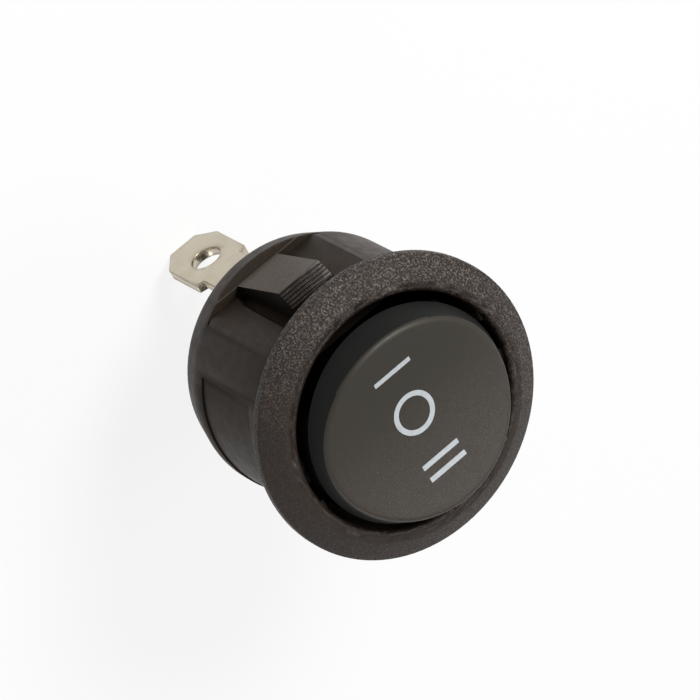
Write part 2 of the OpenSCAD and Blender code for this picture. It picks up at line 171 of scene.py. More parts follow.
class MetalFinish(bpy.types.PropertyGroup):
    nickel: colour("Nickel", "Colour of the plated terminals", (0.555, 0.502, 0.402))
    brass: colour("Brass", "Colour of the contact blade", (0.78, 0.57, 0.27))
    silver: colour("Silver", "Colour of the contacts", (0.86, 0.84, 0.79))
    steel: colour("Steel", "Colour of the spring wire", (0.58, 0.58, 0.58))
    plunger: colour("Plunger", "Colour of the plunger's plastic", (0.72, 0.70, 0.62))
    edge_radius: length("Edge radius", "Rounding that stamping leaves on the edges", 0.05)


class StageSettings(bpy.types.PropertyGroup):
    floor_colour: colour("Floor", "Colour of the floor", (0.86, 0.86, 0.86))
    world_light: FloatProperty(name="World light", description="Strength of the even light from all round",
                               default=0.12, min=0.0)
    key_power: FloatProperty(name="Key light", description="Power of the key light", default=2.0, min=0.0,
                             unit="POWER")
    lens: FloatProperty(name="Lens", description="Focal length of the camera", default=282.857, min=1.0,
                        subtype="DISTANCE_CAMERA")


# ---- small helpers for objects ----

def select_only(*objects):
    """Leaves edit mode, deselects everything and selects the objects given; the first is active."""
    if bpy.context.object and bpy.context.object.mode != "OBJECT":
        bpy.ops.object.mode_set(mode="OBJECT")
    bpy.ops.object.select_all(action="DESELECT")
    for thing in objects:
        thing.select_set(True)
    if objects:
        bpy.context.view_layer.objects.active = objects[0]


def added(name):
    """Names the object that the last primitive made."""
    made = bpy.context.object
    made.name = made.data.name = name
    return made


def apply_modifier(thing, kind, **values):
    """Adds a modifier with these values and applies it."""
    select_only(thing)
    modifier = thing.modifiers.new(kind.title(), kind)
    for key, value in values.items():
        setattr(modifier, key, value)
    bpy.ops.object.modifier_apply(modifier=modifier.name)


def settle(thing):
    """Puts the object's place into its mesh, so that the object sits at the origin."""
    select_only(thing)
    bpy.ops.object.transform_apply(location=True, rotation=True, scale=True)


def smooth(thing, degrees=30):
    """Shades smoothly across edges that turn less than this."""
    select_only(thing)
    bpy.ops.object.shade_smooth_by_angle(angle=math.radians(degrees))


def finish_piece(thing, body, material):
    """Gives a new piece its material and its body."""
    thing.data.materials.clear()
    thing.data.materials.append(material)
    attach(thing, body)


def soften_edges(node, width, degrees=15):
    """Rounds sharp edges with live modifiers alone, and keeps the broad faces flat in the shading."""
    weld = node.modifiers.new("Weld", "WELD")
    weld.merge_threshold = 0.002 * MM
    bevel = node.modifiers.new("Bevel", "BEVEL")
    bevel.width = width
    bevel.segments = 2
    bevel.limit_method = "ANGLE"
    bevel.angle_limit = math.radians(degrees)
    bevel.use_clamp_overlap = True
    bevel.harden_normals = True


def repaint(node, material):
    """Gives a CAD node its material in every slot."""
    if not node.material_slots:
        node.data.materials.append(material)
    for place in node.material_slots:
        place.material = material


def finish_node(name, material, edge_radius):
    """Rounds a CAD node's edges and gives it its material."""
    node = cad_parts[name]
    soften_edges(node, edge_radius)
    repaint(node, material)
    smooth(node)


# ---- small helpers for materials ----

class Graph:
    """A material's node tree, written as calls: each returns the output that the next one reads."""

    def __init__(self, name):
        self.material = bpy.data.materials.new(name)
        self.material.use_nodes = True
        self.tree = self.material.node_tree
        self.shader = self.tree.nodes["Principled BSDF"]
        self.place = self.tree.nodes.new("ShaderNodeTexCoord").outputs["Object"]

    def feed(self, socket, value):
        """Links a socket to an output, or sets it to a constant."""
        if isinstance(value, bpy.types.NodeSocket):
            self.tree.links.new(value, socket)
        elif value is not None:
            socket.default_value = value

    def node(self, kind, inputs=(), out=0, **settings):
        """Adds a node with its settings and inputs, and returns one output."""
        made = self.tree.nodes.new(kind)
        for key, value in settings.items():
            setattr(made, key, value)
        for key, value in dict(inputs).items():
            self.feed(made.inputs[key], value)
        return made.outputs[out]

    def math(self, operation, a, b=None):
        """One step of arithmetic."""
        made = self.tree.nodes.new("ShaderNodeMath")
        made.operation = operation
        for socket, value in zip(made.inputs, (a, b)):
            self.feed(socket, value)
        return made.outputs[0]

    def noise(self, size, detail=2.0, roughness=0.5, place=None):
        """Noise whose lumps are about size metres across."""
        inputs = {"Vector": place or self.place, "Scale": 1 / size, "Detail": detail, "Roughness": roughness}
        return self.node("ShaderNodeTexNoise", inputs, out="Fac")

    def cells(self, size, feature="F1", out="Distance"):
        """Cells about size metres across."""
        inputs = {"Vector": self.place, "Scale": 1 / size}
        return self.node("ShaderNodeTexVoronoi", inputs, out=out, feature=feature)

    def stretch(self, scale):
        """The object's coordinates, scaled along each axis."""
        inputs = {"Vector": self.place, "Scale": scale}
        return self.node("ShaderNodeMapping", inputs, vector_type="POINT")

    def range(self, value, low, high, to_low=0.0, to_high=1.0, shape="SMOOTHSTEP"):
        """A value carried from one range to another, and held at the ends."""
        inputs = {"Value": value, "From Min": low, "From Max": high, "To Min": to_low, "To Max": to_high}
        return self.node("ShaderNodeMapRange", inputs, interpolation_type=shape)

    def mix(self, factor, a, b):
        """A colour between a and b."""
        made = self.tree.nodes.new("ShaderNodeMix")
        made.data_type = "RGBA"
        self.feed(made.inputs["Factor"], factor)
        self.feed(made.inputs["A"], a if isinstance(a, bpy.types.NodeSocket) else (*a, 1.0))
        self.feed(made.inputs["B"], b if isinstance(b, bpy.types.NodeSocket) else (*b, 1.0))
        return made.outputs["Result"]

    def split(self):
        """The three parts of the place on the object."""
        made = self.tree.nodes.new("ShaderNodeSeparateXYZ")
        self.tree.links.new(self.place, made.inputs[0])
        return made.outputs

    def facing(self):
        """The three parts of the direction that the surface faces, without the bump."""
        place = self.tree.nodes.new("ShaderNodeTexCoord")
        made = self.tree.nodes.new("ShaderNodeSeparateXYZ")
        self.tree.links.new(place.outputs["Normal"], made.inputs[0])
        return made.outputs

    def both(self, first, *others):
        """The product of masks or shares: 1 only where all of them are 1."""
        for other in others:
            first = self.math("MULTIPLY", first, other)
        return first

    def radius(self):
        """Distance from the switch's own axis."""
        x, y, _ = self.split()
        return self.math("SQRT", self.math("ADD", self.both(x, x), self.both(y, y)))

    def bump(self, height, depth):
        """A bump of this depth in metres."""
        return self.node("ShaderNodeBump", {"Height": height, "Distance": depth, "Strength": 1.0})

    def set(self, **values):
        """Sets the shader's sockets and returns the finished material."""
        for key, value in values.items():
            socket = self.shader.inputs[key.replace("_", " ")]
            if isinstance(value, tuple) and len(value) == 3 and socket.type == "RGBA":
                value = (*value, 1.0)
            self.feed(socket, value)
        return self.material


def specks(graph, size, share_kept, small=0.035, large=0.06):
    """Sparse round specks, such as dust: 1 inside a speck and 0 elsewhere."""
    near = graph.cells(size)
    chance = graph.node("ShaderNodeSeparateColor", {"Color": graph.cells(size, out="Color")})
    chosen = graph.math("LESS_THAN", chance, share_kept)
    return graph.both(chosen, graph.range(near, small, large, 1.0, 0.0))


def dusted(graph, base, spacing, share_kept, strength, tint=DUST):
    """A colour with sparse dust lying on it."""
    return graph.mix(graph.both(specks(graph, spacing, share_kept), strength), base, tint)


def tinted(base, *factors):
    """A colour with each of its parts scaled, by its own factor or all by one."""
    factors = factors * 3 if len(factors) == 1 else factors
    return tuple(min(1.0, part * factor) for part, factor in zip(base, factors))


# ---- the materials ----

def slope_mask(g, out, z):
    """1 on the frosted slope of each latch tongue, from the rear band up to the grip steps."""
    line = g.range(z, SLOPE_BACK_Z, SLOPE_PEAK_Z, SLOPE_BACK_X, SLOPE_PEAK_X, "LINEAR")
    on_line = g.range(g.math("SUBTRACT", out, line), -0.12 * MM, -0.04 * MM)
    outside = g.range(out, SLOPE_BACK_X - 0.1 * MM, SLOPE_BACK_X)
    below_peak = g.range(z, SLOPE_PEAK_Z + 0.02 * MM, SLOPE_PEAK_Z - 0.04 * MM)
    above_band = g.range(z, SLOPE_BACK_Z - 0.20 * MM, SLOPE_BACK_Z + 0.05 * MM)
    return g.both(on_line, outside, below_peak, above_band)


def body_material(s):
    """The satin body, with the frosted slope, the grip steps and the sides of each latch tongue."""
    g = Graph("housing_body")
    x, y, z = g.split()
    out, across = g.math("ABSOLUTE", x), g.math("ABSOLUTE", y)
    to_x, to_y, _ = g.facing()
    turned = g.math("ABSOLUTE", to_x)
    ramp = slope_mask(g, out, z)
    fine = g.noise(0.06 * MM, detail=2.0, roughness=0.6)
    frost_grain = g.noise(0.13 * MM, detail=2.5)
    height = g.math("ADD", g.both(frost_grain, 0.4, ramp), g.both(fine, 0.05))
    clouds = g.noise(4.0 * MM, detail=3.0, roughness=0.5)
    base = g.mix(g.range(clouds, 0.35, 0.7), s.plastic, tinted(s.plastic, 1.15, 1.05, 1.02))
    mottle = g.range(g.noise(0.30 * MM, detail=3.0, roughness=0.6), 0.45, 0.75)
    base = g.mix(g.both(mottle, 0.35), base, tinted(s.plastic, 1.9, 1.7, 1.6))
    # the frosted slope: real grain, on a colour lighter than the body as painted light from above
    frosted = g.mix(g.range(frost_grain, 0.3, 0.7), tinted(s.frost, 0.8), tinted(s.frost, 1.2))
    base = g.mix(ramp, base, frosted)
    # the grip steps: painted shade on the risers, and a painted highlight of uneven strength along their
    # edges
    steps = g.both(g.range(out, STEPS_X, STEPS_X + 0.10 * MM), g.range(z, STEPS_Z, STEPS_Z + 0.14 * MM))
    base = g.mix(g.both(steps, 0.8), base, tinted(s.plastic, 0.3))
    edge = g.both(g.range(turned, 0.35, 0.55), g.range(turned, 0.96, 0.86), steps)
    # the uneven strength of the painted highlight along the step edges
    glint_strength = g.range(g.noise(0.5 * MM, detail=3.0), 0.35, 0.6, 0.45, 0.95)
    base = g.mix(g.both(edge, glint_strength), base, (0.24, 0.22, 0.20))
    # the sides of the latch tongues, darkened as painted shade where little light reaches them
    side = g.both(g.range(g.math("ABSOLUTE", to_y), 0.7, 0.9), g.range(out, FLAT_X, FLAT_X + 0.07 * MM),
                  g.range(across, TONGUE_Y + 0.10 * MM, TONGUE_Y))
    base = g.mix(g.both(side, 0.85), base, tinted(s.plastic, 0.12, 0.12, 0.14))
    base = dusted(g, base, 1.1 * MM, 0.05, 0.5)
    smudges = g.noise(0.9 * MM, detail=4.0)
    rough = g.range(smudges, 0.3, 0.7, s.body_roughness - 0.04, s.body_roughness + 0.05)
    return g.set(Base_Color=base, Roughness=rough, Normal=g.bump(height, 0.02 * MM),
                 Specular_IOR_Level=0.065, Specular_Tint=BODY_GLOSS)


def bezel_material(s):
    """The spark-eroded front of the bezel: lumps of two sizes, with painted highlights on the tops of the
    lumps and painted shade in their hollows, both strongest on the side that faces the key light.
    """
    g = Graph("housing_bezel")
    x, y, _ = g.split()
    slope = g.range(g.radius(), 9.45 * MM, 9.95 * MM)
    side = g.math("SUBTRACT", g.both(y, 0.62), g.both(x, 0.73))
    # the side that faces the key light, where the painted highlights and painted shade on the grain are
    # strongest
    lit_side = g.range(side, -4.0 * MM, 7.0 * MM, 0.12, 1.0)
    lumps = g.noise(s.grain_size, detail=4.0, roughness=0.8)
    patches = g.range(g.noise(0.6 * MM, detail=2.0), 0.35, 0.65, 0.5, 1.0)
    pits = g.cells(s.grain_size * 1.1, feature="SMOOTH_F1")
    grain = g.math("ADD", lumps, g.both(pits, 0.7))
    height = g.both(grain, g.range(slope, 0.0, 1.0, 0.12, 1.0, "LINEAR"))
    # painted highlights on the tops of the lumps, most on the slope, and painted shade in the hollows
    peaks = g.both(g.range(lumps, 0.51, 0.60), g.range(slope, 0.0, 1.0, 0.35, 1.0, "LINEAR"), patches)
    hollows = g.both(g.range(lumps, 0.50, 0.40), lit_side)
    clouds = g.noise(3.0 * MM, detail=3.0, roughness=0.5)
    base = g.mix(g.range(clouds, 0.35, 0.7), s.bezel, tinted(s.bezel, 1.2, 1.1, 1.1))
    base = g.mix(g.both(hollows, 0.8), base, tinted(s.bezel, 0.1))
    base = g.mix(g.both(peaks, lit_side), base, s.grain_highlight)
    base = dusted(g, base, 1.1 * MM, 0.05, 0.5)
    return g.set(Base_Color=base, Roughness=g.range(lumps, 0.40, 0.66, 0.55, 0.30),
                 Normal=g.bump(height, s.grain_depth), Specular_IOR_Level=0.23,
                 Specular_Tint=BEZEL_GLOSS)


def well_material(s):
    """The polished wall and ledge inside the opening, coloured darker than the bezel as painted shade in the
    well.
    """
    g = Graph("housing_well")
    clouds = g.range(g.noise(2.0 * MM, detail=3.0), 0.35, 0.7)
    # painted shade: the well's colour is a darker copy of the bezel's
    base = g.mix(clouds, tinted(s.bezel, 0.30, 0.30, 0.32), tinted(s.bezel, 0.45))
    fine = g.noise(0.06 * MM, detail=2.0)
    return g.set(Base_Color=base, Roughness=g.range(clouds, 0.0, 1.0, 0.34, 0.42, "LINEAR"),
                 Normal=g.bump(fine, 0.001 * MM), Specular_IOR_Level=0.08)


def rocker_face_material(s):
    """The fine matt grain of the dished face."""
    g = Graph("rocker_plastic")
    x, _, _ = g.split()
    # the face is painted lighter towards II, as painted light where the lamps fall on it more, and its grain
    # shows more there
    towards_ii = g.range(x, -4.0 * MM, 7.0 * MM)
    grain = g.noise(s.grain_size, detail=2.5, roughness=0.6)
    fine = g.noise(0.04 * MM, detail=2.0)
    height = g.math("ADD", g.both(grain, g.range(towards_ii, 0.0, 1.0, 0.2, 1.0, "LINEAR")), g.both(fine, 0.15))
    clouds = g.noise(4.5 * MM, detail=3.0, roughness=0.55)
    base = g.mix(g.range(clouds, 0.35, 0.7), s.plastic, tinted(s.plastic, 1.2, 1.05, 1.0))
    base = g.mix(towards_ii, base, tinted(s.plastic, 1.5, 1.3, 1.6))
    # pale flecks on the grain: painted glints, strongest towards II
    glint_flecks = g.both(g.range(grain, 0.50, 0.62), g.range(towards_ii, 0.0, 1.0, 0.06, 0.8, "LINEAR"))
    base = g.mix(glint_flecks, base, tinted(s.plastic, 6.0, 5.4, 8.4))
    base = dusted(g, base, 1.3 * MM, 0.06, 0.45, (0.34, 0.33, 0.31))
    rough = g.range(g.noise(0.7 * MM, detail=4.0), 0.3, 0.7, 0.47, 0.55)
    return g.set(Base_Color=base, Roughness=rough, Normal=g.bump(height, 0.009 * MM),
                 Specular_IOR_Level=0.40, Specular_Tint=FACE_GLOSS)


def rocker_wall_material(s):
    """The drafted wall and everything below it, which the tool leaves smooth and dark."""
    g = Graph("rocker_wall")
    fine = g.noise(0.06 * MM, detail=2.0)
    clouds = g.range(g.noise(2.5 * MM, detail=3.0), 0.35, 0.7)
    base = g.mix(clouds, tinted(s.plastic, 0.70, 0.85, 1.6), tinted(s.plastic, 0.95, 1.15, 2.0))
    base = dusted(g, base, 1.0 * MM, 0.07, 0.5, (0.32, 0.31, 0.30))
    return g.set(Base_Color=base, Roughness=g.range(clouds, 0.0, 1.0, 0.38, 0.46, "LINEAR"),
                 Normal=g.bump(fine, 0.001 * MM), Specular_IOR_Level=0.12)


def ink_material(s):
    """Pale print, a little uneven."""
    g = Graph("mark_ink")
    tone = g.range(g.noise(0.35 * MM, detail=3.0), 0.3, 0.7, 0.0, 1.0)
    base = g.mix(tone, tinted(s.ink, 0.94), tinted(s.ink, 1.05))
    grain = g.noise(0.085 * MM, detail=2.0)
    return g.set(Base_Color=base, Roughness=g.range(grain, 0.3, 0.7, 0.48, 0.62),
                 Normal=g.bump(grain, 0.003 * MM), Specular_IOR_Level=0.35)


def nickel_material(s):
    """Rolled and plated metal, dull in patches and darker round the stamped rim as a painted dark reflection.
    """
    g = Graph("terminal_nickel")
    rolled = g.noise(0.09 * MM, detail=3.0, roughness=0.6, place=g.stretch((1.0, 1.0, 0.06)))
    clouds = g.noise(1.6 * MM, detail=4.0, roughness=0.6)
    dull = g.range(clouds, 0.42, 0.70)
    base = g.mix(g.both(dull, 0.5), s.nickel, tinted(s.nickel, 0.86, 0.84, 0.80))
    # the rounded rim of the stamping, darker: a painted dark reflection
    turned = g.math("ABSOLUTE", g.facing()[0])
    rim = g.both(g.range(turned, 0.10, 0.30), g.range(turned, 0.995, 0.93))
    base = g.mix(g.both(rim, 0.7), base, tinted(s.nickel, 0.32, 0.28, 0.22))
    rough = g.math("ADD", g.range(rolled, 0.3, 0.7, 0.24, 0.36), g.both(dull, 0.08))
    return g.set(Base_Color=base, Metallic=1.0, Roughness=rough, Normal=g.bump(rolled, 0.0012 * MM))


def stamped_metal(name, tint, rough_low, rough_high, along):
    """Bare metal with the marks of rolling drawn out along one way."""
    g = Graph(name)
    rolled = g.noise(0.07 * MM, detail=3.0, place=g.stretch(along))
    clouds = g.range(g.noise(1.1 * MM, detail=4.0), 0.35, 0.7)
    base = g.mix(clouds, tint, tinted(tint, 0.86))
    return g.set(Base_Color=base, Metallic=1.0, Roughness=g.range(rolled, 0.3, 0.7, rough_low, rough_high),
                 Normal=g.bump(rolled, 0.0015 * MM))


def plunger_material(s):
    """Smooth natural plastic."""
    g = Graph("plunger_plastic")
    clouds = g.noise(1.5 * MM, detail=3.0)
    base = g.mix(g.range(clouds, 0.35, 0.7), s.plunger, tinted(s.plunger, 0.92))
    fine = g.noise(0.05 * MM, detail=2.0)
    return g.set(Base_Color=base, Roughness=g.range(clouds, 0.3, 0.7, 0.28, 0.4),
                 Normal=g.bump(fine, 0.001 * MM), Subsurface_Weight=0.08)


# ---- the rocker ----

def dish_height(s, x):
    """Height of the dished face above the panel, at a distance x along the rocking direction."""
    return s.face_height + s.dish_radius - math.sqrt(s.dish_radius ** 2 - x * x)


def rim_profile(s, angle, steps):
    """Radius and height of points round the rim at one angle, from the drafted wall onto the dish."""
    lean = math.tan(s.draft)
    across = math.cos(angle)
    radius = s.foot_radius
    # where the wall meets the dish: each round comes closer
    for _ in range(12):
        radius = s.foot_radius - (dish_height(s, radius * across) - s.end_height) * lean
    corner = Vector((radius, dish_height(s, radius * across)))
    x = radius * across
    slope = across * x / math.sqrt(s.dish_radius ** 2 - x * x)
    wall = Vector((math.sin(s.draft), -math.cos(s.draft)))
    face = Vector((-1.0, -slope)).normalized()
    half = wall.angle(face) / 2
    reach = s.rim_radius / math.tan(half)
    middle = corner + (wall + face).normalized() * (s.rim_radius / math.sin(half))
    start, end = corner + wall * reach - middle, corner + face * reach - middle
    turn = start.angle(end)
    points = []
    for i in range(steps + 1):
        t = turn * i / steps
        from_start, from_end = math.sin(turn - t) / math.sin(turn), math.sin(t) / math.sin(turn)
        points.append(middle + start * from_start + end * from_end)
    return points


def place_ring(points_at):
    """Gives each vertex of the selected ring a radius and a height, and leaves its angle."""
    thing = bpy.context.object
    mesh = bmesh.from_edit_mesh(thing.data)
    for v in mesh.verts:
        if v.select:
            angle = math.atan2(v.co.y, v.co.x)
            radius, height = points_at(angle)
            v.co = (radius * math.cos(angle), radius * math.sin(angle), height)
    bmesh.update_edit_mesh(thing.data)


def rocker_cap(s):
    """The rocker's closed top: its flat underside, the drafted wall, the rounded rim and the dished face."""
    sides, rim_steps, face_rings = 288, 6, 14
    wall_rings = (0.04, 0.5, 0.93)
    crowding = 0.8
    lap = 0.02 * MM
    foot = Vector((s.foot_radius, s.end_height))
    profiles = {}

    def on_dish(radius, angle):
        return radius, dish_height(s, radius * math.cos(angle))

    def rim(angle):
        key = round(angle, 6)
        if key not in profiles:
            profiles[key] = rim_profile(s, angle, rim_steps)
        return profiles[key]

    def on_wall(angle, part):
        return tuple(foot.lerp(rim(angle)[0], part))

    select_only()
    bpy.ops.mesh.primitive_circle_add(vertices=sides, radius=s.foot_radius + lap, fill_type="NGON",
                                      location=(0, 0, s.end_height - lap))
    cap = added("rocker_moulding")
    settle(cap)
    bpy.ops.object.mode_set(mode="EDIT")
    bpy.ops.mesh.select_mode(type="FACE")
    bpy.ops.mesh.select_all(action="SELECT")

    rings = [lambda a, part=part: on_wall(a, part) for part in wall_rings]
    rings += [lambda a, i=i: tuple(rim(a)[i]) for i in range(rim_steps + 1)]
    for i in range(1, face_rings):
        inward = (1 - i / face_rings) ** crowding
        rings.append(lambda a, inward=inward: on_dish(rim(a)[rim_steps].x * inward, a))
    for ring in rings:
        bpy.ops.mesh.extrude_region_move()
        place_ring(ring)
    bpy.ops.mesh.poke()
    bpy.ops.mesh.select_all(action="SELECT")
    bpy.ops.mesh.normals_make_consistent(inside=False)
    bpy.ops.object.mode_set(mode="OBJECT")
    return cap


def copy_of_node(name, new_name):
    """A merged copy of a CAD node's mesh as a new piece."""
    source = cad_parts[name]
    piece = bpy.data.objects.new(new_name, source.data.copy())
    bpy.context.scene.collection.objects.link(piece)
    select_only(piece)
    bpy.ops.object.mode_set(mode="EDIT")
    bpy.ops.mesh.select_all(action="SELECT")
    bpy.ops.mesh.remove_doubles(threshold=0.001 * MM)
    bpy.ops.object.mode_set(mode="OBJECT")
    return piece


def cut_above(piece, height):
    """Cuts a piece level at a height and keeps what is below, closed."""
    side = 40 * MM
    select_only()
    bpy.ops.mesh.primitive_cube_add(size=side, location=(0, 0, height - side / 2))
    block = added("cutting_block")
    settle(block)
    apply_modifier(piece, "BOOLEAN", operation="INTERSECT", object=block, solver="EXACT")
    bpy.data.objects.remove(block)


# ---- operators ----

class SWITCH_OT_housing(bpy.types.Operator):
    """Rounds the housing's edges and gives it its moulded finish"""
    bl_idname = "switch.housing"
    bl_label = "Finish housing"

    def execute(self, context):
        s = context.scene.switch_housing
        piece = copy_of_node("housing", "housing_moulding")
        self.round_lip(s, piece)
        self.set_ledge(s, piece)
        finish_piece(piece, "base", body_material(s))
        piece.data.materials.append(bezel_material(s))
        piece.data.materials.append(well_material(s))
        for face in piece.data.polygons:
            if face.center.z > BEZEL_Z and face.normal.z > -0.5:
                face.material_index = WELL if face.center.xy.length < WELL_R else BEZEL
        soften_edges(piece, s.edge_radius, 25)
        smooth(piece)
        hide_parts("housing")
        return {"FINISHED"}

    def round_lip(self, s, piece):
        """Takes the small chamfers off the bezel's lip and bridges the gap with one even rounding."""
        select_only(piece)
        bpy.ops.object.mode_set(mode="EDIT")
        bpy.ops.mesh.select_all(action="SELECT")
        bpy.ops.mesh.dissolve_limited(angle_limit=math.radians(0.3))
        bpy.ops.mesh.select_all(action="DESELECT")
        bpy.ops.mesh.select_mode(type="FACE")
        mesh = bmesh.from_edit_mesh(piece.data)
        for face in mesh.faces:
            face.select_set(all(self.on_lip(v) for v in face.verts))
        bpy.ops.mesh.delete(type="FACE")
        bpy.ops.mesh.select_mode(type="EDGE")
        bpy.ops.mesh.select_all(action="DESELECT")
        mesh = bmesh.from_edit_mesh(piece.data)
        for edge in mesh.edges:
            edge.select_set(edge.is_boundary)
        bpy.ops.mesh.bridge_edge_loops(number_cuts=6)
        # the rounding touches the lip's slope and the wall of the well
        lean = math.atan((LIP_TOP_Z - CREST_Z) / (CREST_R - LIP_TOP_R))
        middle_r = LIP_WALL_R + s.lip_radius
        slope_z = LIP_TOP_Z - (middle_r - LIP_TOP_R) * math.tan(lean)
        middle_z = slope_z - s.lip_radius / math.cos(lean)
        mesh = bmesh.from_edit_mesh(piece.data)
        for v in [v for v in mesh.verts if self.on_lip(v)]:
            part = (LIP_TOP_Z - v.co.z) / (LIP_TOP_Z - LIP_WALL_Z)
            turn = math.pi / 2 - lean + part * (math.pi / 2 + lean)
            v.co.xy = v.co.xy.normalized() * (middle_r + s.lip_radius * math.cos(turn))
            v.co.z = middle_z + s.lip_radius * math.sin(turn)
        bpy.ops.mesh.select_all(action="SELECT")
        bpy.ops.mesh.normals_make_consistent(inside=False)
        bpy.ops.object.mode_set(mode="OBJECT")

    def set_ledge(self, s, piece):
        """Sets the height of the ledge at both ends of the opening."""
        for v in piece.data.vertices:
            level = abs(v.co.z - LEDGE_Z) < 0.005 * MM
            if level and abs(v.co.x) > LEDGE_IN_X and v.co.xy.length < LIP_WALL_R + 0.02 * MM:
                v.co.z = s.ledge_height

    def on_lip(self, v):
        """Whether a vertex lies on the lip, from its top down to the wall of the well."""
        return (LIP_WALL_R - 0.02 * MM < v.co.xy.length < LIP_TOP_R + 0.01 * MM
                and LIP_WALL_Z - 0.01 * MM < v.co.z < LIP_TOP_Z + 0.01 * MM)


class SWITCH_OT_rocker(bpy.types.Operator):
    """Models the rocker with its rounded rim round the CAD node's pins, skirt and tube"""
    bl_idname = "switch.rocker"
    bl_label = "Model rocker"

    def execute(self, context):
        s = context.scene.switch_rocker
        skirt = copy_of_node("rocker", "rocker_skirt")
        cut_above(skirt, s.end_height - 0.01 * MM)
        piece = rocker_cap(s)
        apply_modifier(piece, "BOOLEAN", operation="UNION", object=skirt, solver="EXACT")
        bpy.data.objects.remove(skirt)
        finish_piece(piece, "rocker", rocker_face_material(s))
        piece.data.materials.append(rocker_wall_material(s))
        rim = s.end_height + s.rim_radius
        for face in piece.data.polygons:
            face.material_index = FACE if face.normal.z > 0.45 and face.center.z > rim else WALL
        smooth(piece, 28)
        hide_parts("rocker")
        return {"FINISHED"}


class SWITCH_OT_marks(bpy.types.Operator):
    """Prints the marks I, O and II on the rocker's face"""
    bl_idname = "switch.marks"
    bl_label = "Print marks"

    def execute(self, context):
        s, shape = context.scene.switch_marks, context.scene.switch_rocker
        ink = ink_material(s)
        outer, inner = s.bar_offset, s.bar_offset - s.bar_pitch
        marks = {
            "mark_i": self.bar(s, -outer),
            "mark_ii_inner": self.bar(s, inner),
            "mark_ii_outer": self.bar(s, outer),
            "mark_o": self.ring(s, -s.ring_offset),
        }
        for name, thing in marks.items():
            thing.name = thing.data.name = name
            self.lay(s, shape, thing)
            finish_piece(thing, "rocker", ink)
        return {"FINISHED"}

    def bar(self, s, x):
        """One bar, with its corners rounded as the print leaves them."""
        select_only()
        bpy.ops.mesh.primitive_plane_add(size=1, location=(x, 0, 0))
        bar = added("mark_bar")
        bar.scale = (s.bar_width, s.bar_length, 1)
        settle(bar)
        bpy.ops.object.mode_set(mode="EDIT")
        bpy.ops.mesh.select_all(action="SELECT")
        bpy.ops.mesh.bevel(offset=s.bar_width * 0.16, segments=4, affect="VERTICES")
        bpy.ops.mesh.select_all(action="SELECT")
        bpy.ops.mesh.extrude_region_move(TRANSFORM_OT_translate={"value": (0, 0, s.ink_thickness)})
        bpy.ops.mesh.select_all(action="SELECT")
        bpy.ops.mesh.normals_make_consistent(inside=False)
        bpy.ops.object.mode_set(mode="OBJECT")
        return bar

    def ring(self, s, x):
        """The ring of the mark O."""
        select_only()
        bpy.ops.mesh.primitive_circle_add(vertices=144, radius=s.ring_outer, fill_type="NOTHING",
                                          location=(x, 0, 0))
        ring = added("mark_ring")
        bpy.ops.object.mode_set(mode="EDIT")
        bpy.ops.mesh.select_all(action="SELECT")
        bpy.ops.mesh.extrude_edges_move()
        ratio = s.ring_inner / s.ring_outer
        bpy.ops.transform.resize(value=(ratio, ratio, 1), center_override=(x, 0, 0))
        bpy.ops.mesh.select_all(action="SELECT")
        bpy.ops.mesh.extrude_region_move(TRANSFORM_OT_translate={"value": (0, 0, s.ink_thickness)})
        bpy.ops.mesh.select_all(action="SELECT")
        bpy.ops.mesh.normals_make_consistent(inside=False)
        bpy.ops.object.mode_set(mode="OBJECT")
        settle(ring)
        return ring

    def lay(self, s, shape, thing):
        """Drops a flat mark onto the dish, its underside just inside the plastic."""
        for v in thing.data.vertices:
            v.co.z += dish_height(shape, v.co.x)
            if v.co.z < dish_height(shape, v.co.x) + s.ink_thickness / 2:
                v.co.z -= s.ink_thickness


class SWITCH_OT_terminals(bpy.types.Operator):
    """Rounds the stamped edges of the three terminals and plates them"""
    bl_idname = "switch.terminals"
    bl_label = "Finish terminals"

    def execute(self, context):
        s = context.scene.switch_metals
        plated = nickel_material(s)
        for name in ("terminal_i", "terminal_common", "terminal_ii"):
            finish_node(name, plated, s.edge_radius)
        return {"FINISHED"}


class SWITCH_OT_contacts(bpy.types.Operator):
    """Finishes the contact blade and its contacts"""
    bl_idname = "switch.contacts"
    bl_label = "Finish contacts"

    def execute(self, context):
        s = context.scene.switch_metals
        brass = stamped_metal("blade_brass", s.brass, 0.28, 0.42, (0.08, 1.0, 1.0))
        silver = stamped_metal("contact_silver", s.silver, 0.22, 0.38, (1.0, 1.0, 1.0))
        finish_node("contact_blade", brass, s.edge_radius)
        for name in ("moving_contact_i", "moving_contact_ii", "fixed_contact_i", "fixed_contact_ii"):
            finish_node(name, silver, s.edge_radius)
        return {"FINISHED"}


class SWITCH_OT_plunger(bpy.types.Operator):
    """Finishes the plunger and its spring"""
    bl_idname = "switch.plunger"
    bl_label = "Finish plunger and spring"

    def execute(self, context):
        s = context.scene.switch_metals
        finish_node("plunger", plunger_material(s), s.edge_radius)
        self.spring(s)
        return {"FINISHED"}

    def spring(self, s):
        """The spring, copied from the CAD node and carried by the rocker."""
        piece = copy_of_node("plunger_spring", "spring_coil")
        steel = stamped_metal("spring_steel", s.steel, 0.20, 0.34, (1.0, 1.0, 1.0))
        finish_piece(piece, "rocker", steel)
        smooth(piece, 60)
        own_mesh(piece)
        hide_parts("plunger_spring")


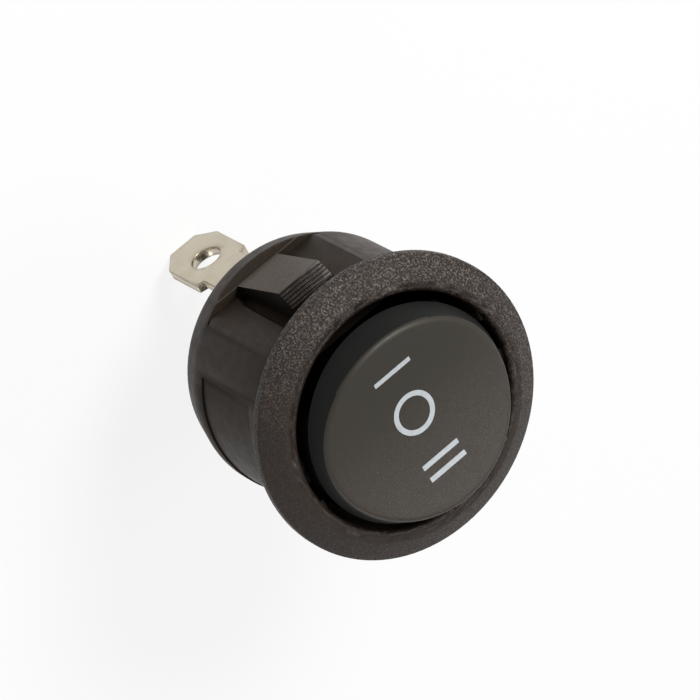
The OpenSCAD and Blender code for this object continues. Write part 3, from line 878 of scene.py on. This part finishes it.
class SWITCH_OT_stage(bpy.types.Operator):
    """Sets the floor, the lights, the world and the camera"""
    bl_idname = "switch.stage"
    bl_label = "Set stage"

    def execute(self, context):
        s = context.scene.switch_stage
        self.camera(context, s)
        self.floor(s)
        self.lights(s)
        self.world(context, s)
        context.scene.view_settings.view_transform = "Standard"
        return {"FINISHED"}

    def camera(self, context, s):
        """Looks at the switch from the side of mark I and from above."""
        right, forward = Vector(CAMERA_RIGHT).normalized(), Vector(CAMERA_FORWARD).normalized()
        up = right.cross(forward)
        right = forward.cross(up)
        data = bpy.data.cameras.new("camera")
        data.sensor_width = 36
        data.lens = s.lens
        camera = bpy.data.objects.new("camera", data)
        context.scene.collection.objects.link(camera)
        turn = Matrix((right, up, -forward)).transposed()
        camera.matrix_world = Matrix.Translation(Vector(CAMERA_PLACE)) @ turn.to_4x4()
        context.scene.camera = camera

    def floor(self, s):
        """A pale floor at the tips of the terminals, which fades into the white background."""
        select_only()
        bpy.ops.mesh.primitive_plane_add(size=FLOOR_SIDE, location=(0, 0, CAD_BOX[0][2]))
        floor = added("floor")
        settle(floor)
        material = bpy.data.materials.new("floor_white")
        material.use_nodes = True
        tree = material.node_tree
        tree.nodes.clear()
        out = tree.nodes.new("ShaderNodeOutputMaterial")
        both = tree.nodes.new("ShaderNodeMixShader")
        plain = tree.nodes.new("ShaderNodeBsdfDiffuse")
        plain.inputs["Color"].default_value = (*s.floor_colour, 1.0)
        white = tree.nodes.new("ShaderNodeEmission")
        white.inputs["Color"].default_value = (1, 1, 1, 1)
        share_white = tree.nodes.new("ShaderNodeMath")
        share_white.operation = "MULTIPLY"
        share_white.inputs[1].default_value = FLOOR_WHITE
        tree.links.new(self.seen(tree), share_white.inputs[0])
        tree.links.new(share_white.outputs[0], both.inputs[0])
        tree.links.new(plain.outputs[0], both.inputs[1])
        tree.links.new(white.outputs[0], both.inputs[2])
        tree.links.new(both.outputs[0], out.inputs["Surface"])
        floor.data.materials.append(material)

    def seen(self, tree):
        """1 for rays that show the background: straight from the camera, or by way of gloss or glass."""
        path = tree.nodes.new("ShaderNodeLightPath")
        found = path.outputs["Is Camera Ray"]
        for kind in ("Is Glossy Ray", "Is Transmission Ray"):
            larger = tree.nodes.new("ShaderNodeMath")
            larger.operation = "MAXIMUM"
            tree.links.new(found, larger.inputs[0])
            tree.links.new(path.outputs[kind], larger.inputs[1])
            found = larger.outputs[0]
        return found

    def lights(self, s):
        """Round soft lamps that all point at the origin."""
        for name, azimuth, elevation, distance, size, power in LIGHTS:
            turn, rise = math.radians(azimuth), math.radians(elevation)
            level = math.cos(rise)
            direction = Vector((level * math.cos(turn), level * math.sin(turn), math.sin(rise)))
            data = bpy.data.lights.new(name, "AREA")
            data.shape = "DISK"
            data.size = size
            data.energy = power * s.key_power
            lamp = bpy.data.objects.new(name, data)
            bpy.context.scene.collection.objects.link(lamp)
            lamp.location = direction * distance
            lamp.rotation_euler = direction.to_track_quat("Z", "Y").to_euler()

    def world(self, context, s):
        """White where the background shows, and a weak even light on everything else."""
        world = bpy.data.worlds.new("studio")
        context.scene.world = world
        world.use_nodes = True
        tree = world.node_tree
        tree.nodes.clear()
        out = tree.nodes.new("ShaderNodeOutputWorld")
        both = tree.nodes.new("ShaderNodeMixShader")
        soft = tree.nodes.new("ShaderNodeBackground")
        soft.inputs["Strength"].default_value = s.world_light
        white = tree.nodes.new("ShaderNodeBackground")
        white.inputs["Strength"].default_value = 1.0
        for one in (soft, white):
            one.inputs["Color"].default_value = (1, 1, 1, 1)
        tree.links.new(self.seen(tree), both.inputs[0])
        tree.links.new(soft.outputs[0], both.inputs[1])
        tree.links.new(white.outputs[0], both.inputs[2])
        tree.links.new(both.outputs[0], out.inputs["Surface"])


class SWITCH_PT_panel(bpy.types.Panel):
    """Lists the steps that make the switch"""
    bl_idname = "SWITCH_PT_panel"
    bl_label = "Rocker Switch"
    bl_space_type = "VIEW_3D"
    bl_region_type = "UI"
    bl_category = "Rocker Switch"

    def draw(self, context):
        for step in OPERATORS:
            self.layout.operator(step.bl_idname)


OPERATORS = (SWITCH_OT_housing, SWITCH_OT_rocker, SWITCH_OT_marks, SWITCH_OT_terminals, SWITCH_OT_contacts,
             SWITCH_OT_plunger, SWITCH_OT_stage)
GROUPS = {"switch_housing": HousingFinish, "switch_rocker": RockerFinish, "switch_marks": MarkPrint,
          "switch_metals": MetalFinish, "switch_stage": StageSettings}


def register():
    """Registers the classes and hangs each group of settings on the scene."""
    for group in GROUPS.values():
        bpy.utils.register_class(group)
    for step in OPERATORS:
        bpy.utils.register_class(step)
    bpy.utils.register_class(SWITCH_PT_panel)
    for name, group in GROUPS.items():
        setattr(bpy.types.Scene, name, PointerProperty(type=group))


def unregister():
    """Takes away what register adds."""
    for name in GROUPS:
        delattr(bpy.types.Scene, name)
    bpy.utils.unregister_class(SWITCH_PT_panel)
    for kind in (*reversed(OPERATORS), *reversed(tuple(GROUPS.values()))):
        bpy.utils.unregister_class(kind)


def main():
    """Makes the switch and the stage."""
    register()
    bpy.ops.switch.housing()
    bpy.ops.switch.rocker()
    bpy.ops.switch.marks()
    bpy.ops.switch.terminals()
    bpy.ops.switch.contacts()
    bpy.ops.switch.plunger()
    bpy.ops.switch.stage()


if __name__ == "__main__":
    main()
